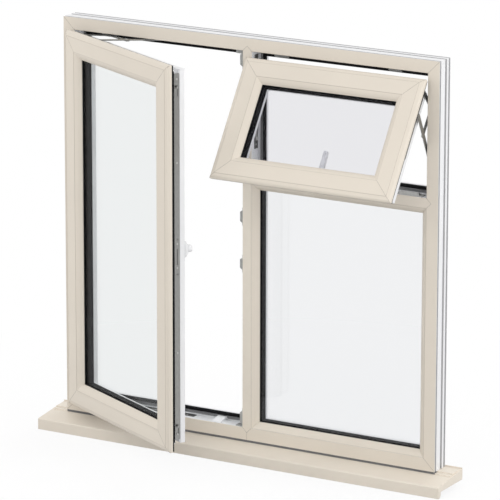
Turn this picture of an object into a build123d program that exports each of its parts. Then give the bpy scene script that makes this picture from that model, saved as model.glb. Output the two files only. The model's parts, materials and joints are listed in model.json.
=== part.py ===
"""A white uPVC window with a cream foiled outer face, on a projecting cill.

Left: a side-hung casement, swung open.  Right: a top-hung fanlight, tilted open, over a fixed light.
X runs along the window, Y from outside to inside, Z up.  The origin is on the underside of the cill,
midway along it, below the outer face of the frame.  All sizes are in millimetres.
"""

import os
from math import atan2, cos, hypot, pi, radians, sin

from build123d import *

# Outer frame
FRAME_W = 1325.0
FRAME_H = 1285.0
FRAME_D = 70.0
FACE = 40.0             # flat outer face of the frame, seen beside an opening light
UPSTAND = 22.0          # height of the inner upstand above the rebate floor
UPSTAND_Y = 57.0        # depth at which the upstand starts
MULLION_FACE = 32.0     # flat outer face of the mullion and the transom
MULLION_X = 0.0
TRANSOM_Z = 844.0       # middle of the transom above the frame's underside
SOCKET_BANDS = ((2.0, 9.5), (35.5, 47.0), (58.5, 68.0))   # grooves along the frame's hidden edge
SOCKET_DEPTH = 7.0
EURO_GROOVE = (38.0, 52.0)     # groove in the rebate floor
EURO_GROOVE_DEPTH = 7.0
EDGE_ROUND = 1.2

# Cill
CILL_H = 34.0           # frame's underside above the cill's bed
CILL_L = 1440.0
CILL_PROJECTION = 85.0
CILL_BACK = 72.0
CILL_NOSE_TOP = 16.6
CILL_NOSE_DROP = 19.0   # nose below the bed
CILL_NOSE_T = 16.0
CILL_STEP = 3.6
CILL_STEPS_Y = (2.0, 17.0)
CILL_UPSTAND = (3.5, 4.0)       # thickness and height of the rear upstand behind the frame
CILL_NOSE_ROUND = 4.0
CILL_DRIP = (7.0, 6.0)          # flat and slope under the nose
CAP_T = 4.5
CILL_SEAL_LIP = (1.4, 0.3)      # seal's front lip: thickness and gap above the cill's slope

# Opening sashes, section measured inwards from the lip and back from the flat face
SASH_D = 75.0
SASH_OVERLAP = 7.0      # lip over the frame's face
SASH_OVOLO_W = 15.0
SASH_OVOLO_D = 10.5
SASH_OVOLO_R = 9.0
SASH_QUIRK = 1.2        # step between the flat face and the moulding
SASH_LIP_T = 8.0
SASH_FLAT = 39.0
SASH_INSET = 20.0       # sash body behind the lip
SASH_UPSTAND = 22.0
SASH_UPSTAND_Y = 54.0
SASH_GROOVE = (38.5, 57.5)
SASH_GROOVE_DEPTH = 3.0         # shoulders that carry the faceplate and the stay arms
SASH_CHANNEL = (41.0, 55.0)     # deeper channel between the shoulders
SASH_CHANNEL_DEPTH = 10.0
SASH_REBATE = SASH_OVOLO_W + SASH_FLAT
SASH_LIP_REAR = SASH_OVOLO_D + SASH_LIP_T

# Poses of the sashes, as they stand open
CASEMENT_ANGLE = 28.0
CASEMENT_HINGE = (-622.0, -50.0)     # X and Y of the flat face's hinge-side edge
FANLIGHT_ANGLE = 34.0
FANLIGHT_TOP = (-21.6, 1231.0)       # Y, and Z above the frame's underside, of the lip's top edge

# Glazing
PANE_T = 4.0
SPACER_T = 20.0
EDGE_CLEAR = 4.0        # glass edge to the rebate floor
BEAD_FACE = 1.0         # bead set back from the flat face
FIXED_BEAD = (20.5, 16.0)      # width over the rebate floor and depth of the bevel
SASH_BEAD = (25.0, 13.0)
BEAD_LIP = 1.5
BEAD_SWELL = 1.6        # crown of the bead's bevel above a straight line
GASKET_H = 6.0
GASKET_T = 4.0
GASKET_NOSE = 1.5
GASKET_SHOWS = 1.0      # gasket above the bead's sightline
SPACER_H = 12.0
SPACER_SHOWS = 2.0      # spacer above the bead's sightline
FIXED_GLASS_Y = 24.0
SASH_GLASS_Y = 22.0
MITRE_GAP = 0.15

# Seals
SEAL_H = 11.0
SEAL_T = 7.5
SEAL_EDGE = 0.5         # seal set back from the upstand's edge
LIP_SEAL_T = 5.5
LIP_SEAL_W = 6.0
LIP_SEAL_EDGE = 1.5     # lip seal set in from the lip's edge

# Hardware
STAY_T = 2.4
STAY_PITCH = 2.6        # one layer of the stay to the next
STAY_TRACK_W = 19.0
STAY_TRACK_Y = 27.0
STAY_TRACK_END = 13.0   # middle of the track's round end to the frame's corner
STAY_TRACK_SLOT = 9.0   # open slot between the track's folded lips
STAY_SHEET = 0.8
STAY_ARM_W = 18.0
STAY_ARM_T = 48.0       # arm behind the sash's flat face, in the hardware groove
STAY_LINK_W = 14.0
RIVET_R = 4.0
END_SIDES = 6           # facets round a link's end
PIN_SIDES = 12
CASEMENT_ARM = (28.0, 150.0, 330.0)     # arm end, middle pivot and far end, from the sash's lip
FANLIGHT_ARM = (28.0, 105.0, 240.0)
CASEMENT_TRACK = (132.5, 92.5, 304.5, 420.0)    # link pivots and far end, from the frame's corner
FANLIGHT_TRACK = (97.6, 128.9, 277.5, 310.0)
STAY_CROSSING = 0.43    # short link's pivot along the long link
CAM_R = 3.2
CAM_HEAD_R = 5.0
CAM_HEAD_T = 2.2
CAM_L = 6.5
CAM_SLOT = (9.0, 34.0)          # width and length of the slot that a cam slides in
DRIVE_RAIL = (13.0, 3.0)        # width and thickness of the sliding rail behind the faceplate
FACEPLATE_W = 18.0
FACEPLATE_T = 2.5
FACEPLATE_ROUND = 3.0
CASEMENT_PLATE = 578.0
CASEMENT_CAMS = (536.0, -534.0)
CASEMENT_GEARBOX = 5.0          # middle of the gearbox along the faceplate
FANLIGHT_PLATE = 235.0
FANLIGHT_CAMS = (205.0, -205.0)
GEARBOX_HOLES = (55.0, -55.0)
GEARBOX_HOLE_R = 3.2
GEARBOX_SLOT = (4.0, 50.0)
KEEP_Y = (4.0, 28.0)
KEEP_T = 11.0
KEEP_PLATE_T = 3.0
KEEP_RIB_Y = (4.0, 13.0)
KEEP_RAMP = 7.0         # lead-in slope at both ends of a keep's rib
KEEP_ROUND = 3.0
MULLION_KEEPS = ((690.0, 748.0), (540.0, 596.0))    # above the frame's underside
CORNER_KEEP = (60.0, 26.0)      # upright and level leg
TRANSOM_KEEP = (16.0, 106.0)    # from the jamb's face
HEAD_CLIPS = ((73.0, 122.0), (468.0, 512.0))
HEAD_CLIP_Y = (40.0, 48.5)
HEAD_CLIP_H = 17.0
HEAD_CLIP_ROUND = 3.0
PACKER_X = (-128.0, -97.0)
PACKER_RAMP = ((3.0, 2.0), (33.0, 10.0), (46.0, 10.0))     # Y and height along the run-up block

# Handles
BASE_L = 92.0
BASE_W = 27.0
BASE_T = 10.0
BASE_EDGE = 2.5
HOUSING = ((10.0, 57.0, 26.0), (18.0, 50.0, 24.5), (23.0, 35.0, 23.0))     # depth, length, width of the dome
SPINDLE_R = 5.0
SPINDLE_L = 9.0
SPINDLE_CLEAR = 0.06
HUB_R = 11.5
LEVER_GAP = 0.4
LEVER_REACH = 118.0
LEVER_TOP = 38.0        # lever's outer face above the sash
LEVER_T = 10.0
LEVER_ROOT_H = 18.0
LEVER_TIP_H = 14.0
LEVER_BOW = 2.5
LEVER_ROUND = 3.0
CASEMENT_HANDLE_Z = 18.0        # above the middle of the lock stile

LIGHT_LEFT = (-FRAME_W / 2 + FACE, MULLION_X - MULLION_FACE / 2)
LIGHT_RIGHT = (MULLION_X + MULLION_FACE / 2, FRAME_W / 2 - FACE)
FRAME_Z0 = CILL_H
FRAME_Z1 = CILL_H + FRAME_H
TRANSOM_MID = CILL_H + TRANSOM_Z
LIGHT_TALL = (FRAME_Z0 + FACE, FRAME_Z1 - FACE)
LIGHT_UPPER = (TRANSOM_MID + MULLION_FACE / 2, FRAME_Z1 - FACE)
LIGHT_LOWER = (FRAME_Z0 + FACE, TRANSOM_MID - MULLION_FACE / 2)
HALF_POST = MULLION_FACE / 2 + UPSTAND
FAR = 400.0

made = {}


def keep(name, solid):
    """Store a node's solid or group of solids under its name."""
    made[name] = solid


def outline(points):
    """Face inside a closed outline; a third value at a point is the radius that rounds that corner."""
    places = [point[:2] for point in points]
    radii = [point[2] if len(point) > 2 else 0.0 for point in points]
    if any(radii):
        return make_face(FilletPolyline(*places, radius=radii, close=True))
    return make_face(Polyline(*places, close=True))


def prism(points, plane, length):
    """Closed outline drawn on a plane and pushed out along the plane's normal."""
    return extrude(plane * outline(points), length)


def elevation(points, y0=-FAR, y1=FAR):
    """Outline given in X and Z, pushed through from y0 to y1."""
    plane = Plane(origin=(0, y0, 0), x_dir=(1, 0, 0), z_dir=(0, -1, 0))
    return prism(points, plane, -(y1 - y0))


def slab(x, y, z):
    """Box between two limits on each axis."""
    size = (x[1] - x[0], y[1] - y[0], z[1] - z[0])
    middle = ((x[0] + x[1]) / 2, (y[0] + y[1]) / 2, (z[0] + z[1]) / 2)
    return Pos(*middle) * Box(*size)


def member_planes(x, z):
    """Planes for the four sides of a rectangle: section X inwards, section Y to the inside."""
    return {
        "left": (Plane(origin=(x[0], 0, z[0]), x_dir=(1, 0, 0), z_dir=(0, 0, 1)), z[1] - z[0]),
        "right": (Plane(origin=(x[1], 0, z[1]), x_dir=(-1, 0, 0), z_dir=(0, 0, -1)), z[1] - z[0]),
        "top": (Plane(origin=(x[0], 0, z[1]), x_dir=(0, 0, -1), z_dir=(1, 0, 0)), x[1] - x[0]),
        "bottom": (Plane(origin=(x[1], 0, z[0]), x_dir=(0, 0, 1), z_dir=(-1, 0, 0)), x[1] - x[0]),
    }


def mitre_outlines(x, z, reach, gap):
    """Elevation outlines of the four mitred sides, with a hairline gap at each mitre."""
    g = gap
    corner = {
        "left": [(x[0], z[0] + g), (x[0] + reach, z[0] + reach + g), (x[0] + reach, z[1] - reach - g),
                 (x[0], z[1] - g)],
        "top": [(x[0] + g, z[1]), (x[0] + reach + g, z[1] - reach), (x[1] - reach - g, z[1] - reach),
                (x[1] - g, z[1])],
    }
    corner["right"] = [(x[0] + x[1] - px, pz) for px, pz in corner["left"]]
    corner["bottom"] = [(px, z[0] + z[1] - pz) for px, pz in corner["top"]]
    return corner


def mitred_ring(section, x, z, reach, gap=0.0):
    """Four mitred lengths of one section round a rectangle."""
    outlines = mitre_outlines(x, z, reach, gap)
    sides = {}
    for side, (plane, length) in member_planes(x, z).items():
        sides[side] = prism(section, plane, length) & elevation(outlines[side])
    return sides


def ring(section, x, z, reach):
    """Closed rectangular ring of one section, joined at its mitres."""
    left, right, top, bottom = mitred_ring(section, x, z, reach).values()
    return left + top + right + bottom


def hoop(x, z, width, y0, y1):
    """Closed rectangular ring of a rectangular section."""
    wide, tall = x[1] - x[0], z[1] - z[0]
    plane = Plane(origin=((x[0] + x[1]) / 2, y0, (z[0] + z[1]) / 2), x_dir=(1, 0, 0), z_dir=(0, -1, 0))
    face = Rectangle(wide, tall) - Rectangle(wide - 2 * width, tall - 2 * width)
    return extrude(plane * face, -(y1 - y0))


def inset(span, distance):
    """Span shortened by a distance at both ends."""
    return (span[0] + distance, span[1] - distance)


def bar(start, end, width, plane, low, high):
    """Flat link with round ends between two points of a plane, from one level to another."""
    heading = atan2(end[1] - start[1], end[0] - start[0])
    points = []
    for centre, first in ((end, heading - pi / 2), (start, heading + pi / 2)):
        for step in range(END_SIDES + 1):
            angle = first + pi * step / END_SIDES
            points.append((centre[0] + width / 2 * cos(angle), centre[1] + width / 2 * sin(angle)))
    return prism(points, plane.offset(low), high - low)


def pin(point, radius, plane, low, high):
    """Round pin on a plane, from one level to another."""
    return extrude(plane.offset(low) * Pos(*point) * Circle(radius), high - low)


def rivet(point, radius, plane, low, high):
    """Small pin with few sides on a plane, from one level to another."""
    return extrude(plane.offset(low) * Pos(*point) * RegularPolygon(radius, PIN_SIDES), high - low)


def pair(solid, plane):
    """A solid and its mirror image."""
    return Compound(children=[solid, mirror(solid, plane)])


def frame_section():
    """Outer frame: grooved hidden edge, flat face, rebate with a groove, inner upstand."""
    points = [(0, 0)]
    points += [(FACE - EDGE_ROUND, 0), (FACE, EDGE_ROUND)]
    points += [(FACE, EURO_GROOVE[0]), (FACE - EURO_GROOVE_DEPTH, EURO_GROOVE[0])]
    points += [(FACE - EURO_GROOVE_DEPTH, EURO_GROOVE[1]), (FACE, EURO_GROOVE[1])]
    points += [(FACE, UPSTAND_Y), (FACE + UPSTAND, UPSTAND_Y)]
    points += [(FACE + UPSTAND, FRAME_D - 3 * EDGE_ROUND), (FACE + UPSTAND - 3 * EDGE_ROUND, FRAME_D)]
    points += [(0, FRAME_D)]
    for low, high in reversed(SOCKET_BANDS):
        points += [(0, high), (SOCKET_DEPTH, high), (SOCKET_DEPTH, low), (0, low)]
    return points


def post_section():
    """Mullion and transom: flat face, a rebate on both sides, inner upstands."""
    half = MULLION_FACE / 2
    side = [(half - EDGE_ROUND, 0), (half, EDGE_ROUND)]
    side += [(half, EURO_GROOVE[0]), (half - EURO_GROOVE_DEPTH, EURO_GROOVE[0])]
    side += [(half - EURO_GROOVE_DEPTH, EURO_GROOVE[1]), (half, EURO_GROOVE[1])]
    side += [(half, UPSTAND_Y), (HALF_POST, UPSTAND_Y)]
    side += [(HALF_POST, FRAME_D - 3 * EDGE_ROUND), (HALF_POST - 3 * EDGE_ROUND, FRAME_D)]
    return side + [(-px, py) for px, py in reversed(side)]


def sash_section():
    """Opening sash: moulded lip, flat face, glazing rebate, inner upstand, hardware groove."""
    top = SASH_REBATE + SASH_UPSTAND
    shoulder = SASH_INSET + SASH_GROOVE_DEPTH
    channel = SASH_INSET + SASH_CHANNEL_DEPTH
    points = [(0, SASH_OVOLO_D, EDGE_ROUND), (SASH_OVOLO_W * 0.36, SASH_OVOLO_D * 0.36, SASH_OVOLO_R)]
    points += [(SASH_OVOLO_W - SASH_QUIRK / 2, SASH_QUIRK), (SASH_OVOLO_W, 0)]
    points += [(SASH_REBATE - EDGE_ROUND, 0), (SASH_REBATE, EDGE_ROUND)]
    points += [(SASH_REBATE, SASH_UPSTAND_Y), (top, SASH_UPSTAND_Y)]
    points += [(top, SASH_D - 3 * EDGE_ROUND), (top - 3 * EDGE_ROUND, SASH_D)]
    points += [(SASH_INSET + EDGE_ROUND, SASH_D), (SASH_INSET, SASH_D - EDGE_ROUND)]
    points += [(SASH_INSET, SASH_GROOVE[1]), (shoulder, SASH_GROOVE[1])]
    points += [(shoulder, SASH_CHANNEL[1]), (channel, SASH_CHANNEL[1])]
    points += [(channel, SASH_CHANNEL[0]), (shoulder, SASH_CHANNEL[0])]
    points += [(shoulder, SASH_GROOVE[0]), (SASH_INSET, SASH_GROOVE[0])]
    points += [(SASH_INSET, SASH_LIP_REAR), (0, SASH_LIP_REAR)]
    return points


def bead_section(bead, rear):
    """External glazing bead with a crowned bevel, seated on the rebate floor."""
    width, bevel = bead
    run, drop = width - 2 * BEAD_LIP, bevel - BEAD_FACE
    swell = BEAD_SWELL / hypot(run, drop)
    crown = (width / 2 + swell * drop, (bevel + BEAD_FACE) / 2 - swell * run, width)
    face = [(0, BEAD_FACE), (BEAD_LIP, BEAD_FACE), crown, (width - BEAD_LIP, bevel)]
    return face + [(width, bevel + BEAD_LIP), (width, rear), (0, rear)]


def build_cill():
    """Projecting cill with a drip nose, two weather steps and a flat bed, and its end caps."""
    nose_y = -CILL_PROJECTION
    level = CILL_H - 2 * CILL_STEP
    back = CILL_BACK + CILL_UPSTAND[0]
    top = CILL_H + CILL_UPSTAND[1]
    rear = [(CILL_BACK, CILL_H), (CILL_BACK, top), (back, top), (back, 0), (nose_y + CILL_NOSE_T, 0)]
    drip = [(nose_y + CILL_NOSE_T, CILL_DRIP[1] - CILL_NOSE_DROP), (nose_y + CILL_DRIP[0], -CILL_NOSE_DROP)]
    nose = [(nose_y, -CILL_NOSE_DROP, EDGE_ROUND), (nose_y, CILL_NOSE_TOP, CILL_NOSE_ROUND)]
    steps = [(CILL_STEPS_Y[0], level), (CILL_STEPS_Y[0], level + CILL_STEP)]
    steps += [(CILL_STEPS_Y[1], level + CILL_STEP), (CILL_STEPS_Y[1], CILL_H)]
    start = CILL_L / 2 - CAP_T
    plane = Plane(origin=(-start, 0, 0), x_dir=(0, 1, 0), z_dir=(1, 0, 0))
    keep("cill", prism(nose + steps + rear + drip, plane, 2 * start))
    right = prism(nose + rear + drip, Plane(origin=(start, 0, 0), x_dir=(0, 1, 0), z_dir=(1, 0, 0)), CAP_T)
    keep("cill_end_caps", pair(right, Plane.YZ))
    lip_y, lip_z = CILL_STEPS_Y[0] - CILL_SEAL_LIP[0], level + CILL_SEAL_LIP[1]
    seal = [(CILL_STEPS_Y[1], CILL_H), (lip_y, CILL_H), (lip_y, lip_z), (CILL_STEPS_Y[0], lip_z)]
    seal += [(CILL_STEPS_Y[0], level + CILL_STEP), (CILL_STEPS_Y[1], level + CILL_STEP)]
    plane = Plane(origin=(-FRAME_W / 2, 0, 0), x_dir=(0, 1, 0), z_dir=(1, 0, 0))
    keep("cill_seal", prism(seal, plane, FRAME_W))


def v_notch(apex, direction):
    """Triangular cut for a V-welded post end, wide enough for the post's upstands."""
    size = HALF_POST + 60.0
    ax, az = apex
    if direction in ("up", "down"):
        s = -1 if direction == "up" else 1
        return elevation([(ax, az), (ax + size, az + s * size), (ax - size, az + s * size)])
    s = -1 if direction == "right" else 1
    return elevation([(ax, az), (ax + s * size, az + size), (ax + s * size, az - size)])


def build_frame():
    """Welded outer frame with a mullion and a transom let in by V-shaped welds."""
    x = (-FRAME_W / 2, FRAME_W / 2)
    z = (FRAME_Z0, FRAME_Z1)
    sides = mitred_ring(frame_section(), x, z, FACE + UPSTAND)
    reach = FACE - MULLION_FACE / 2
    head_apex = (MULLION_X, z[1] - reach)
    foot_apex = (MULLION_X, z[0] + reach)
    jamb_apex = (x[1] - reach, TRANSOM_MID)
    post_apex = (MULLION_X, TRANSOM_MID)
    keep("frame_head", sides["top"] - v_notch(head_apex, "up"))
    keep("frame_bottom_rail", sides["bottom"] - v_notch(foot_apex, "down"))
    keep("frame_left_jamb", sides["left"])
    keep("frame_right_jamb", sides["right"] - v_notch(jamb_apex, "right"))
    upright = Plane(origin=(MULLION_X, 0, z[0]), x_dir=(1, 0, 0), z_dir=(0, 0, 1))
    mullion = prism(post_section(), upright, FRAME_H)
    half = HALF_POST
    pointed = [head_apex, (half, head_apex[1] - half), (half, foot_apex[1] + half), foot_apex]
    pointed += [(-half, foot_apex[1] + half), (-half, head_apex[1] - half)]
    keep("mullion", (mullion & elevation(pointed)) - v_notch(post_apex, "left"))
    level = Plane(origin=(MULLION_X, 0, TRANSOM_MID), x_dir=(0, 0, -1), z_dir=(1, 0, 0))
    transom = prism(post_section(), level, FRAME_W / 2)
    pointed = [post_apex, (half, TRANSOM_MID + half), (jamb_apex[0] - half, TRANSOM_MID + half), jamb_apex]
    pointed += [(jamb_apex[0] - half, TRANSOM_MID - half), (half, TRANSOM_MID - half)]
    keep("transom", transom & elevation(pointed))


def build_opening_seal(name, x, z):
    """Bulb seal on the outer face of the upstand round an opening."""
    high = UPSTAND - SEAL_EDGE
    low = high - SEAL_H
    bulb = SEAL_H * 0.45
    front = UPSTAND_Y - SEAL_T
    section = [(low, UPSTAND_Y), (low, front, bulb), (high, front, bulb), (high, UPSTAND_Y)]
    keep(name, ring(section, x, z, UPSTAND))


def build_glazing(name, x, z, glass_y, rest_y, bead, place):
    """Sealed unit, spacer, gaskets and external beads in the rebate of one light."""
    gx, gz = inset(x, EDGE_CLEAR), inset(z, EDGE_CLEAR)
    inner_y = glass_y + PANE_T + SPACER_T
    panes = [slab(gx, (glass_y, glass_y + PANE_T), gz), slab(gx, (inner_y, inner_y + PANE_T), gz)]
    keep(name + "_panes", Compound(children=[place * pane for pane in panes]))
    sight = bead[0] + SPACER_SHOWS - SPACER_H
    spacer = hoop(inset(x, sight), inset(z, sight), SPACER_H, glass_y + PANE_T, inner_y)
    keep(name + "_spacer", place * spacer)
    high = bead[0] + GASKET_SHOWS
    low = high - GASKET_H
    gaskets = []
    for inner, outer in ((glass_y, glass_y - GASKET_T), (inner_y + PANE_T, rest_y)):
        section = [(low, inner), (low, outer), (high, outer, GASKET_NOSE), (high, inner)]
        gaskets.append(place * ring(section, x, z, high))
    keep(name + "_gaskets", Compound(children=gaskets))
    beads = mitred_ring(bead_section(bead, glass_y - GASKET_T), x, z, bead[0], MITRE_GAP)
    keep(name + "_beads", Compound(children=[place * side for side in beads.values()]))


def build_sash(name, size, place, names):
    """Four welded sash lengths, their lip seal and their glazing."""
    x, z = (-size[0] / 2, size[0] / 2), (-size[1] / 2, size[1] / 2)
    for side, solid in mitred_ring(sash_section(), x, z, SASH_REBATE + SASH_UPSTAND).items():
        keep(name + "_" + names[side], place * solid)
    tip = SASH_LIP_REAR + LIP_SEAL_T
    flap = LIP_SEAL_W * 0.4
    far = LIP_SEAL_EDGE + LIP_SEAL_W
    section = [(LIP_SEAL_EDGE, SASH_LIP_REAR), (far, SASH_LIP_REAR), (far, SASH_LIP_REAR + flap, EDGE_ROUND),
               (LIP_SEAL_EDGE + flap, tip, EDGE_ROUND), (LIP_SEAL_EDGE, tip)]
    keep(name + "_lip_seal", place * ring(section, x, z, far))
    glazed_x, glazed_z = inset(x, SASH_REBATE), inset(z, SASH_REBATE)
    build_glazing(name, glazed_x, glazed_z, SASH_GLASS_Y, SASH_UPSTAND_Y, SASH_BEAD, place)


def build_lock(name, edge, half_length, cams, gearbox, place):
    """Espagnolette in a right-hand stile's groove: slotted faceplate, drive rail and mushroom cams."""
    t_mid = (SASH_GROOVE[0] + SASH_GROOVE[1]) / 2
    floor = edge - SASH_INSET - SASH_GROOVE_DEPTH
    face = Plane(origin=(floor, t_mid, 0), x_dir=(0, 1, 0), z_dir=(1, 0, 0))
    strip = RectangleRounded(FACEPLATE_W, 2 * half_length, FACEPLATE_ROUND)
    for height in cams:
        below = height + (CAM_SLOT[0] - CAM_SLOT[1]) / 2
        strip -= Pos(0, below) * RectangleRounded(*CAM_SLOT, CAM_SLOT[0] * 0.45)
    strip -= Pos(0, gearbox) * Rectangle(*GEARBOX_SLOT)
    for height in GEARBOX_HOLES:
        strip -= Pos(0, gearbox + height) * Circle(GEARBOX_HOLE_R)
    width, depth = DRIVE_RAIL
    lock = extrude(face * strip, FACEPLATE_T)
    lock += extrude(face * Rectangle(width, 2 * half_length - 2 * FACEPLATE_ROUND), -depth)
    top = FACEPLATE_T + CAM_L
    for height in cams:
        lock += rivet((0, height), CAM_R, face, 0.0, top - CAM_HEAD_T)
        lock += rivet((0, height), CAM_HEAD_R, face, top - CAM_HEAD_T, top)
    keep(name, place * lock)


def build_handle(name, place):
    """Handle on a sash's inner face: base along Z with a domed housing, lever along -X, axis along Y."""
    face = Plane(origin=(0, SASH_D, 0), x_dir=(1, 0, 0), z_dir=(0, 1, 0))
    base = extrude(face * Rot(0, 0, 90) * SlotOverall(BASE_L, BASE_W), BASE_T)
    base = chamfer(base.faces().sort_by(Axis.Y)[-1].edges(), BASE_EDGE)
    rings = [face.offset(depth) * Rot(0, 0, 90) * SlotOverall(tall, wide) for depth, tall, wide in HOUSING]
    base += loft(rings, ruled=True)
    seat = HOUSING[-1][0]
    base += pin((0, 0), SPINDLE_R, face, seat, seat + SPINDLE_L)
    low = seat + LEVER_GAP
    under = LEVER_TOP - LEVER_T
    side = Plane(origin=(0, SASH_D, -FAR), x_dir=(1, 0, 0), z_dir=(0, 0, 1))
    profile = [(HUB_R, under), (HUB_R, LEVER_TOP, LEVER_ROUND)]
    profile += [(-LEVER_REACH / 2, LEVER_TOP + LEVER_BOW, LEVER_REACH)]
    profile += [(-LEVER_REACH, LEVER_TOP - LEVER_BOW, LEVER_ROUND)]
    profile += [(-LEVER_REACH, under - LEVER_BOW / 2, LEVER_ROUND)]
    profile += [(-LEVER_REACH / 2, under + LEVER_BOW / 2, LEVER_REACH)]
    root, tip = LEVER_ROOT_H / 2, LEVER_TIP_H / 2
    plan = [(HUB_R, -root, root * 0.9), (HUB_R, root, root * 0.9)]
    plan += [(-LEVER_REACH, tip, tip * 0.9), (-LEVER_REACH, -tip, tip * 0.9)]
    blade = prism(profile, side, 2 * FAR) & elevation(plan)
    lever = blade + pin((0, 0), HUB_R, face, low, LEVER_TOP - 1.5)
    bore = pin((0, 0), SPINDLE_R + SPINDLE_CLEAR, face, seat, seat + SPINDLE_L + 1.0)
    keep(name + "_handle_base", place * base)
    keep(name + "_handle", place * (lever - bore))


def build_stay(prefix, plane, flip, track, pivots, arm):
    """A pair of friction stays: track on the frame, arm on the sash, three riveted links between."""
    start, end = [plane.from_local_coords((*point, 0.0)) for point in track]
    across = Plane(origin=start, x_dir=plane.z_dir, z_dir=end - start)
    wide, slot = STAY_TRACK_W / 2, STAY_TRACK_SLOT / 2
    inner, under = wide - STAY_SHEET, STAY_T - STAY_SHEET
    half = [(STAY_T, wide), (STAY_T, slot), (under, slot), (under, inner), (STAY_SHEET, inner)]
    channel = [(0.0, -wide), (0.0, wide)] + half + [(height, -width) for height, width in reversed(half)]
    rail = prism(channel, across, (end - start).length)
    near, middle, far = pivots
    bottom = [STAY_PITCH * layer for layer in range(5)]
    top = [level + STAY_T for level in bottom]
    crossing = tuple(a + (b - a) * STAY_CROSSING for a, b in zip(arm[1], far))
    body = SASH_INSET - SASH_OVERLAP + SASH_GROOVE_DEPTH
    linkage = bar(arm[0], arm[2], STAY_ARM_W, plane, bottom[4], body)
    linkage += bar(arm[1], far, STAY_LINK_W, plane, bottom[1], top[1])
    linkage += bar(middle, crossing, STAY_LINK_W, plane, bottom[2], top[2])
    linkage += bar(arm[0], near, STAY_LINK_W, plane, bottom[3], top[3])
    rivets = [(far, STAY_SHEET, top[1]), (middle, STAY_SHEET, top[2]), (near, STAY_SHEET, top[3])]
    rivets += [(crossing, bottom[1], top[2]), (arm[1], bottom[1], body), (arm[0], bottom[3], body)]
    for point, low, high in rivets:
        linkage += rivet(point, RIVET_R, plane, low, high)
    keep(prefix + "_stay_tracks", pair(rail, flip))
    keep(prefix + "_stay_arms", pair(linkage, flip))


def build_stays():
    """Stays at the casement's foot and head, and at both sides of the fanlight."""
    lip = (CASEMENT_HINGE[0] - SASH_OVOLO_W * cos(swing), CASEMENT_HINGE[1] + SASH_OVOLO_W * sin(swing))
    groove = (lip[0] + STAY_ARM_T * sin(swing), lip[1] + STAY_ARM_T * cos(swing))
    arm = [(groove[0] + along * cos(swing), groove[1] - along * sin(swing)) for along in CASEMENT_ARM]
    corner = LIGHT_LEFT[0]
    track = [(corner + STAY_TRACK_END, STAY_TRACK_Y), (corner + CASEMENT_TRACK[3], STAY_TRACK_Y)]
    pivots = [(corner + distance, STAY_TRACK_Y) for distance in CASEMENT_TRACK[:3]]
    floor = Plane(origin=(0, 0, LIGHT_TALL[0]), x_dir=(1, 0, 0), z_dir=(0, 0, 1))
    build_stay("casement", floor, Plane.XY.offset(sum(LIGHT_TALL) / 2), track, pivots, arm)

    depth = STAY_ARM_T - SASH_OVOLO_D
    lip = (FANLIGHT_TOP[0], FRAME_Z0 + FANLIGHT_TOP[1])
    groove = (lip[0] + depth * cos(tilt), lip[1] - depth * sin(tilt))
    arm = [(groove[0] - along * sin(tilt), groove[1] - along * cos(tilt)) for along in FANLIGHT_ARM]
    corner = LIGHT_UPPER[1]
    track = [(STAY_TRACK_Y, corner - STAY_TRACK_END), (STAY_TRACK_Y, corner - FANLIGHT_TRACK[3])]
    pivots = [(STAY_TRACK_Y, corner - distance) for distance in FANLIGHT_TRACK[:3]]
    wall = Plane(origin=(LIGHT_RIGHT[0], 0, 0), x_dir=(0, 1, 0), z_dir=(1, 0, 0))
    build_stay("fanlight", wall, Plane.YZ.offset(sum(LIGHT_RIGHT) / 2), track, pivots, arm)


def keep_rib(span, seat, rise, direction):
    """Raised rib of a keep, sloped at both ends so that a cam rides onto it."""
    low, high = inset(span, KEEP_RAMP)
    side = [(low, seat), (low + KEEP_RAMP, seat + rise, KEEP_ROUND)]
    side += [(high - KEEP_RAMP, seat + rise, KEEP_ROUND), (high, seat)]
    if direction == "upright":
        side = [(point[1], point[0], *point[2:]) for point in side]
    return elevation(side, *KEEP_RIB_Y)


def build_keeps():
    """Keeps for the cams, clips on the fanlight's head and a packer in the casement's rebate."""
    post = LIGHT_LEFT[1]
    keeps = []
    for low, high in MULLION_KEEPS:
        span = (FRAME_Z0 + low, FRAME_Z0 + high)
        plate = slab((post - KEEP_PLATE_T, post), KEEP_Y, span)
        keeps.append(plate + keep_rib(span, post, -KEEP_T, "upright"))
    floor = LIGHT_TALL[0]
    upright = (floor, floor + CORNER_KEEP[0])
    corner = slab((post - KEEP_PLATE_T, post), KEEP_Y, upright) + keep_rib(upright, post, -KEEP_T, "upright")
    corner += slab((post - CORNER_KEEP[1], post), KEEP_Y, (floor, floor + KEEP_PLATE_T))
    keeps += [corner, mirror(corner, Plane.XY.offset(sum(LIGHT_TALL) / 2))]
    keep("casement_keeps", Compound(children=keeps))

    ledge = LIGHT_UPPER[0]
    along = (LIGHT_RIGHT[1] - TRANSOM_KEEP[1], LIGHT_RIGHT[1] - TRANSOM_KEEP[0])
    right = slab(along, KEEP_Y, (ledge, ledge + KEEP_PLATE_T)) + keep_rib(along, ledge, KEEP_T, "level")
    left = mirror(right, Plane.YZ.offset(sum(LIGHT_RIGHT) / 2))
    head = LIGHT_UPPER[1]
    low, high = head - HEAD_CLIP_H, head + EURO_GROOVE_DEPTH
    clips = []
    for x0, x1 in HEAD_CLIPS:
        face = [(x0, high), (x0, low, HEAD_CLIP_ROUND), (x1, low, HEAD_CLIP_ROUND), (x1, high)]
        clips.append(elevation(face, *HEAD_CLIP_Y))
    keep("fanlight_keeps", Compound(children=[right, left] + clips))
    front, back = PACKER_RAMP[0][0], PACKER_RAMP[-1][0]
    block = [(front, floor)] + [(y, floor + height) for y, height in PACKER_RAMP] + [(back, floor)]
    side = Plane(origin=(PACKER_X[0], 0, 0), x_dir=(0, 1, 0), z_dir=(1, 0, 0))
    keep("packer_block", prism(block, side, PACKER_X[1] - PACKER_X[0]))


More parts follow.
